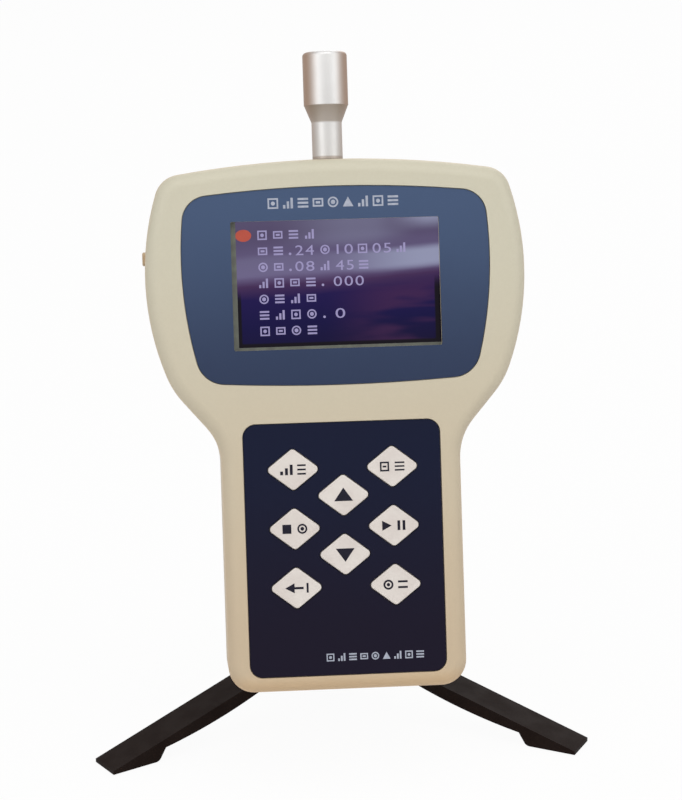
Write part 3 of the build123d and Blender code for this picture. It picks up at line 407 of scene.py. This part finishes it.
finishes = {
    "case": ivory_plastic(),
    "overlay_blue": printed_film("blue printed film", (37, 50, 78), (64, 82, 113), 104.0, 178.0,
                                 shine=0.25),
    "panel_navy": printed_film("navy printed film", (22, 17, 34), (19, 24, 47), 10.0, 90.0, shine=0.1),
    "key_white": plain("white key moulding", (222, 215, 209), (214, 205, 199), 9.0, (0.4, 0.5),
                       grain=0.6, grain_depth=0.008),
    "button_tan": plain("tan button moulding", (198, 172, 138), (186, 160, 128), 3.0, (0.45, 0.6),
                        grain=0.5, grain_depth=0.01),
    "display": lit_display(),
    "probe_metal": probe_metal(),
    "seal": plain("dark washer rubber", (112, 88, 82), (94, 74, 70), 1.5, (0.55, 0.7),
                  grain=0.4, grain_depth=0.02),
    "tripod_plastic": plain("black tripod moulding", (31, 22, 19), (27, 18, 15), 8.0, (0.5, 0.6),
                            grain=0.6, grain_depth=0.02, shine=0.05),
    "foot_rubber": plain("black foot rubber", (20, 15, 13), (27, 21, 18), 2.5, (0.7, 0.85),
                         grain=0.5, grain_depth=0.03, shine=0.08),
    "board": circuit_board(),
    "dark_plastic": plain("black moulded plastic", (30, 30, 32), (42, 42, 44), 5.0, (0.42, 0.55),
                          grain=0.5, grain_depth=0.015),
    "steel": plain("brushed steel", (176, 176, 178), (150, 150, 154), 3.0, (0.26, 0.4), metal=1,
                   grain=0.25, grain_depth=0.006, stretch=(6, 1, 1)),
    "brass": plain("turned brass", (206, 172, 104), (184, 148, 84), 2.0, (0.25, 0.38), metal=1,
                   grain=0.3, grain_depth=0.005),
    "black_metal": plain("black anodised metal", (40, 38, 36), (56, 54, 50), 4.0, (0.4, 0.5), metal=0.6,
                         grain=0.3, grain_depth=0.006),
    "cell": plain("blue cell sleeve", (56, 104, 156), (48, 92, 142), 10.0, (0.3, 0.4), metal=0.2,
                  coat=0.3, grain=1.2, grain_depth=0.01),
    "hose": plain("silicone hose", (222, 214, 196), (208, 200, 182), 5.0, (0.35, 0.5),
                  grain=0.8, grain_depth=0.01),
    "pale_plastic": plain("pale moulded plastic", (226, 226, 220), (214, 214, 208), 6.0, (0.4, 0.5),
                          grain=0.6, grain_depth=0.01),
}
slots = {part["node"]: part["material_slot"] for part in frame["record"]["subparts"]}

for node, piece in nodes.items():
    piece.data.materials.clear()
    piece.data.materials.append(finishes[slots[node]].material)

# the metal frame round the glass shows as an olive grey edge inside the window
window_edge = plain("display frame coating", (104, 108, 98), (92, 94, 88), 3.0, (0.4, 0.5), metal=0.3,
                    grain=0.3, grain_depth=0.006)
nodes["display_frame"].data.materials[0] = window_edge.material

# ---------------------------------------------------------------- making pieces
weld = 0.0005 * mm                  # how near points are that count as one
flat_turn = radians(0.05)           # triangles that turn less than this are one flat
moulded_crease = radians(32)        # edges that turn more than this are shaded sharp
turned_crease = radians(28)
ink_thickness = 0.04 * mm


def new_piece(name, mesh, finish, body, replaced=()):
    """Puts a mesh in the scene as a piece that rides on a body."""
    piece = bpy.data.objects.new(name, mesh)
    scene.collection.objects.link(piece)
    piece.data.materials.clear()
    piece.data.materials.append(finish.material)
    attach(piece, body)
    if replaced:
        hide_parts(*replaced)
    return piece


def smooth_copy(node):
    """A CAD node's own shape with its triangles joined and its flats made whole, shaded smooth
    between its sharp edges."""
    mesh = nodes[node].data.copy()
    work = bmesh.new()
    work.from_mesh(mesh)
    bmesh.ops.remove_doubles(work, verts=work.verts, dist=weld)
    bmesh.ops.dissolve_limit(work, angle_limit=flat_turn, verts=work.verts, edges=work.edges)
    work.to_mesh(mesh)
    work.free()
    mesh.shade_smooth()
    mesh.set_sharp_from_angle(angle=moulded_crease)
    body = nodes[node]["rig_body"]
    piece = new_piece(node + "_smooth", mesh, finishes[slots[node]], body, (node,))
    weighted = piece.modifiers.new("even shading", "WEIGHTED_NORMAL")
    weighted.keep_sharp = True


def lathe(name, profile, base, axis, finish, body, replaced, turns=96):
    """Surface of revolution: a point of the profile at radius r and height h goes once round the
    axis a through the base b, to b + r (cos t e + sin t f) + h a, where e and f are square to a.
    The last point of the profile joins the first, so the wall is closed."""
    profile = np.array(profile)
    angle = np.linspace(0, 2 * pi, turns, endpoint=False)
    axis = Vector(axis).normalized()
    first = axis.orthogonal().normalized()
    second = axis.cross(first)
    ring = np.cos(angle)[:, None] * np.array(first) + np.sin(angle)[:, None] * np.array(second)
    points = profile[:, None, :1] * ring[None] + profile[:, None, 1:] * np.array(axis)
    points = points.reshape(-1, 3) + np.array(base)
    number = np.arange(len(points)).reshape(len(profile), turns)
    along = np.roll(number, -1, 1)
    quads = np.stack([number, along, np.roll(along, -1, 0), np.roll(number, -1, 0)], -1)
    mesh = bpy.data.meshes.new(name)
    mesh.from_pydata(points.tolist(), [], quads.reshape(-1, 4).tolist())
    mesh.shade_smooth()
    mesh.set_sharp_from_angle(angle=turned_crease)
    new_piece(name, mesh, finish, body, replaced)


# ---------------------------------------------------------------- drawings of printed marks
# A drawing is a list of outlines, each a closed row of points in millimetres, or a pair of rows
# with the same number of points, which stands for the band between them.
def bar(x, y, width, height):
    """Upright rectangle round a middle."""
    return np.array([(x - width / 2, y - height / 2), (x + width / 2, y - height / 2),
                     (x + width / 2, y + height / 2), (x - width / 2, y + height / 2)])


def disc(x, y, width, height=None, sides=40):
    """Ellipse round a middle."""
    turn = np.linspace(0, 2 * pi, sides, endpoint=False)
    return np.stack([x + width / 2 * np.cos(turn), y + (height or width) / 2 * np.sin(turn)], -1)


def hoop(x, y, width, line):
    """Ring round a middle, with the width of its line."""
    return disc(x, y, width), disc(x, y, width - 2 * line)


def box_line(x, y, width, height, line):
    """Hollow rectangle round a middle, with the width of its line."""
    return bar(x, y, width, height), bar(x, y, width - 2 * line, height - 2 * line)


def pointer(x, y, width, height, turn=0.0):
    """Triangle that points up, turned by an angle in degrees about its middle."""
    c, s = cos(radians(turn)), sin(radians(turn))
    corners = np.array([(-width / 2, -height / 2), (width / 2, -height / 2), (0, height / 2)])
    return corners @ np.array([(c, s), (-s, c)]) + (x, y)


def ink(name, mesh, finish, body):
    """Puts a flat mesh in the scene as a piece of printing ink, with half its thickness on each side."""
    piece = new_piece(name, mesh, finish, body)
    solid = piece.modifiers.new("ink", "SOLIDIFY")
    solid.thickness = ink_thickness
    solid.offset = 0.0


def print_marks(name, drawing, place, depth, finish, body):
    """Prints a drawing on the case round a place, in millimetres from the middle and the lower end
    of the case: flat faces that rest on the surface at a depth."""
    points, faces = [], []
    for outline in drawing:
        start = sum(len(part) for part in points)
        if isinstance(outline, tuple):
            count = len(outline[0])
            k = np.arange(count)
            turn = (k + 1) % count
            faces += (start + np.stack([k, turn, turn + count, k + count], -1)).tolist()
            points += [outline[0], outline[1]]
        else:
            faces.append((start + np.arange(len(outline))).tolist())
            points.append(outline)
    flat = (np.concatenate(points) + place) * mm
    mesh = bpy.data.meshes.new(name)
    mesh.from_pydata(case_points(flat, depth + ink_thickness / 2).tolist(), [], faces)
    ink(name, mesh, finish, body)


def figures(name, text, place, length, tall, depth, finish, body):
    """Plain figures on the case: set in the built-in type, made a mesh, then fitted to a length and
    a height, from a place at the middle of their left end, all in millimetres."""
    curve = bpy.data.curves.new(name, "FONT")
    curve.body = text
    curve.resolution_u = 4
    curve.space_character = 1.15
    source = bpy.data.objects.new(name + "_type", curve)
    scene.collection.objects.link(source)
    bpy.context.view_layer.update()
    shaped = source.evaluated_get(bpy.context.evaluated_depsgraph_get())
    mesh = bpy.data.meshes.new_from_object(shaped)
    bpy.data.objects.remove(source)
    bpy.data.curves.remove(curve)
    points = np.empty(len(mesh.vertices) * 3)
    mesh.vertices.foreach_get("co", points)
    flat = points.reshape(-1, 3)[:, :2]
    size = flat.max(0) - flat.min(0)
    flat = ((flat - flat.min(0)) / size * (length, tall) + place - (0.0, tall / 2)) * mm
    mesh.vertices.foreach_set("co", case_points(flat, depth + ink_thickness / 2).ravel())
    mesh.update()
    ink(name, mesh, finish, body)


# ---------------------------------------------------------------- smooth shells and tripod
for node in (
    "front_shell", "rear_shell", "power_button", "ball_stud", "ball_cup", "platform", "platform_pad",
    "clamp_knob", "clamp_screw", "tripod_hub", "leg_pins", "leg_front_left", "leg_front_right",
    "leg_rear", "case_screws", "inlet_seal", "dc_jack", "tripod_insert", "display_overlay",
    "keypad_panel", "key_limit", "key_print", "key_up", "key_mode", "key_sample", "key_down",
    "key_exit", "key_confirm",
):
    smooth_copy(node)

# ---------------------------------------------------------------- inlet probe
# Radius and height of each turn of the wall, up its outside and back down its bore. The edges at
# its two ends are broken, and the cone runs softly into the neck and the barrel.
edge_break = 0.25
rim_radius = 1.4
outer_rim = [
    (barrel_radius - rim_radius + rim_radius * cos(a), probe_height - rim_radius + rim_radius * sin(a))
    for a in np.linspace(0, pi / 2, 9)
]
probe_profile = (
    [(neck_radius - edge_break, 0.0), (neck_radius, edge_break), (neck_radius, neck_height - 0.4),
     (neck_radius + 0.06, neck_height + 0.25), (barrel_radius - 0.2, barrel_low - 0.35),
     (barrel_radius - 0.02, barrel_low - 0.1), (barrel_radius, barrel_low + 0.3)]
    + outer_rim
    + [(mouth_radius + edge_break, probe_height), (mouth_radius, probe_height - edge_break),
       (mouth_radius, probe_height - mouth_depth), (throat_radius, barrel_low - cone_height),
       (throat_radius, spigot_depth), (spigot_radius, spigot_depth), (spigot_radius, 0.0)]
)
mouth_place = Vector(mouth["pos_m"])
probe_base = mouth_place + (probe_low - mouth_place.dot(up)) * up
lathe("inlet_probe_turned", np.array(probe_profile) * mm, probe_base, up, finishes["probe_metal"],
      "counter", ("inlet_probe",))

# ---------------------------------------------------------------- printed marks
pale_ink = plain("pale printing ink", (172, 177, 192), (156, 162, 178), 1.5, (0.5, 0.6))
dark_ink = plain("dark printing ink", (22, 21, 34), (30, 28, 42), 1.5, (0.5, 0.6), shine=0.15)
red_ink = lit_mark("red display mark", (60, 24, 20), (188, 88, 70), (172, 78, 66), 1.2)
light_figures = lit_mark("lit display figures", (30, 28, 44), (168, 160, 200), (150, 142, 184), 2.0)


def sign(kind, x, y, size):
    """One of six plain square signs round a middle: a boxed dot, level bars, a ring and dot, rising
    posts, a pointer or a framed bar."""
    line = size * 0.15
    third = size * 0.36
    kinds = (
        [box_line(x, y, size, size, line), disc(x, y, size * 0.38)],
        [bar(x, y + k * third, size, line * 1.3) for k in (-1, 0, 1)],
        [hoop(x, y, size, line), disc(x, y, size * 0.42)],
        [bar(x + k * third, y - (1 - k) * size / 6, line * 1.5, size * (2 + k) / 3) for k in (-1, 0, 1)],
        [pointer(x, y, size, size * 0.92)],
        [box_line(x, y, size, size * 0.8, line), bar(x, y, size * 0.42, line * 1.4)],
    )
    return kinds[kind]


def sign_row(kinds, size, pitch):
    """Signs of a size side by side at a pitch, round their middle."""
    marks = []
    for k, kind in enumerate(kinds):
        marks += sign(kind, (k - (len(kinds) - 1) / 2) * pitch, 0.0, size)
    return marks


row_kinds = (0, 3, 1, 5, 2, 4, 3, 0, 1)
title_row = sign_row(row_kinds, size=3.7, pitch=5.25)
title_place = (-0.4, 171.2)
keypad_row = sign_row(row_kinds, size=2.7, pitch=3.95)
keypad_place = (9.5, 11.8)
print_marks("title_marks", title_row, title_place, depth_of("display_overlay"), pale_ink,
            "counter")
print_marks("keypad_marks", keypad_row, keypad_place, depth_of("keypad_panel"), pale_ink,
            "counter")

# the sign on each key, in millimetres round the key's middle
legends = {
    "key_limit": [bar(-4.0, -1.15, 1.0, 1.3), bar(-2.3, -0.6, 1.0, 2.4), bar(-0.6, 0, 1.0, 3.6),
                  bar(3.0, 1.5, 3.0, 0.6), bar(3.0, 0, 3.0, 0.6), bar(3.0, -1.5, 3.0, 0.6)],
    "key_print": [box_line(-2.7, 0, 3.2, 3.4, 0.55), bar(-2.7, 0, 1.3, 0.6), bar(2.6, 1.3, 3.4, 0.55),
                  bar(2.6, 0, 3.4, 0.55), bar(2.6, -1.3, 3.4, 0.55)],
    "key_up": [pointer(0, 0.3, 6.6, 4.7)],
    "key_mode": [bar(-2.8, 0, 3.1, 3.2), hoop(2.6, 0, 3.5, 0.6), disc(2.6, 0, 1.3)],
    "key_sample": [pointer(-2.5, 0, 3.5, 3.3, -90.0), bar(1.7, 0, 0.95, 3.4), bar(3.5, 0, 0.95, 3.4)],
    "key_down": [pointer(0, -0.3, 6.6, 4.7, 180.0)],
    "key_exit": [pointer(-2.4, 0, 3.5, 3.3, 90.0), bar(0.8, 0, 3.2, 0.8), bar(3.8, 0, 0.7, 3.4)],
    "key_confirm": [hoop(-2.6, 0, 3.5, 0.65), disc(-2.6, 0, 1.2), bar(2.5, 1.0, 3.4, 0.7),
                    bar(2.5, -1.0, 3.4, 0.7)],
}
for key, drawing in legends.items():
    place = ((middle(key, across) - case_x) / mm, height_of(key) / mm)
    print_marks(key + "_legend", drawing, place, depth_of(key), dark_ink, key)

glass_face = depth_of("display_glass")
row_top = 160.4
row_pitch = 5.6
sign_size = 3.3
figure_height = 3.45
stop_size = 0.9
stop_drop = 0.35 * sign_size
sign_places = (-25.4, -19.9, -14.4, -8.8)
mark_place = (-32.0, row_top)
mark_drawing = [disc(0.0, 0.0, width=5.6, height=4.2)]
# each row of the display: its signs as (kind, x), its stop dots and its figures as (text, x, length)
display_rows = (
    (tuple(zip((0, 5, 1, 3), sign_places)), (), ()),
    (((5, -25.4), (1, -19.9), (2, -3.5), (0, 9.7), (3, 23.2)), (-15.8,),
     (("24", -13.9, 6.5), ("10", 0.6, 5.7), ("05", 13.2, 6.5))),
    (((2, -25.4), (5, -19.9), (3, -3.7), (1, 9.9)), (-15.8,), (("08", -14.1, 6.7), ("45", 0.1, 6.3))),
    (tuple(zip((3, 0, 5, 1), sign_places)), (-4.6,), (("000", -0.8, 10.6),)),
    (tuple(zip((2, 1, 3, 5), sign_places)), (), ()),
    (tuple(zip((1, 3, 0, 2), sign_places)), (-4.4,), (("0", -0.5, 3.4),)),
    (tuple(zip((0, 5, 2, 1), sign_places)), (), ()),
)
display_signs = []
for k, (signs, stops, readings) in enumerate(display_rows):
    y = row_top - k * row_pitch
    for kind, x in signs:
        display_signs += sign(kind, x, y, sign_size)
    display_signs += [disc(x, y - stop_drop, stop_size) for x in stops]
    for text, x, length in readings:
        figures(f"display_reading_{k + 1}_{text}", text, (x, y), length, figure_height, glass_face,
                light_figures, "counter")
print_marks("display_signs", display_signs, (0.0, 0.0), glass_face, light_figures, "counter")
print_marks("display_mark", mark_drawing, mark_place, glass_face, red_ink, "counter")

# ---------------------------------------------------------------- floor, light and camera
floor_half = 12.0
floor_mesh = bpy.data.meshes.new("floor")
corners = np.array([(-1, -1), (1, -1), (1, 1), (-1, 1)]) * floor_half
floor_mesh.from_pydata([(x, y, 0.0) for x, y in corners.tolist()], [], [(0, 1, 2, 3)])
floor = bpy.data.objects.new("floor", floor_mesh)
scene.collection.objects.link(floor)
white = (1, 1, 1, 1)
paper_white = 0.95          # how far the floor, where it is seen, is plain white instead of lit paper
paper = Finish("pale floor")
paper.set(Base_Color=paper.mix(paper.noise(60.0), tone(236, 236, 236), tone(233, 233, 233)), Roughness=0.9)
paper.set(Specular_IOR_Level=0.1)
glow = paper.node("Emission", None, {"Color": white, "Strength": 1.0})
paper.blend(paper.seen() * paper_white, paper.shader, glow, "Material Output")
floor_mesh.materials.append(paper.material)

# the world lights the object as a warm sky, and is seen as plain white
scene.view_settings.view_transform = "Standard"
world = bpy.data.worlds.new("studio")
scene.world = world
studio = Shading(world)
sky = studio.node("Background", None, {"Color": (1.0, 0.985, 0.96, 1), "Strength": 0.42})
backdrop = studio.node("Background", None, {"Color": white})
studio.blend(studio.seen(), sky, backdrop, "World Output")

aim_height = 102 * mm       # up the case, where the camera and the lamps point
target = Vector(case_points([(0.0, aim_height)], case_depth)[0])


def softbox(name, place, size, power):
    """Square soft lamp that faces the middle of the case."""
    lamp = bpy.data.lights.new(name, "AREA")
    lamp.size = size
    lamp.energy = power
    box = bpy.data.objects.new(name, lamp)
    box.location = place
    box.rotation_euler = (target - Vector(place)).to_track_quat("-Z", "Y").to_euler()
    scene.collection.objects.link(box)


softbox("overhead", (0.1, -0.7, 1.7), size=1.5, power=13.0)
softbox("left", (-1.3, -1.2, 0.9), size=1.2, power=8.0)
softbox("right", (1.4, -1.0, 0.9), size=1.2, power=6.0)
softbox("behind", (0.4, 1.5, 1.1), size=1.2, power=6.0)

camera_turn = -4.0          # degrees round from the front, to the left
camera_elevation = 17.8
camera_distance = 0.9
camera_roll = -0.7
seen_height = 0.2797        # height of the view at the case
camera_shift = 0.2 * mm     # to the right of the middle of the case
camera_data = bpy.data.cameras.new("camera")
camera_data.lens = camera_data.sensor_width * camera_distance / seen_height
camera = bpy.data.objects.new("camera", camera_data)
level = cos(radians(camera_elevation))
turned = radians(camera_turn)
away = Vector((sin(turned) * level, -cos(turned) * level, sin(radians(camera_elevation))))
camera.location = target + camera_shift * across + away * camera_distance
look = (-away).to_track_quat("-Z", "Y").to_matrix().to_4x4()
camera.rotation_euler = (look @ Matrix.Rotation(radians(camera_roll), 4, "Z")).to_euler()
camera_data.clip_start = 0.05
camera_data.clip_end = 60.0
scene.collection.objects.link(camera)
scene.camera = camera
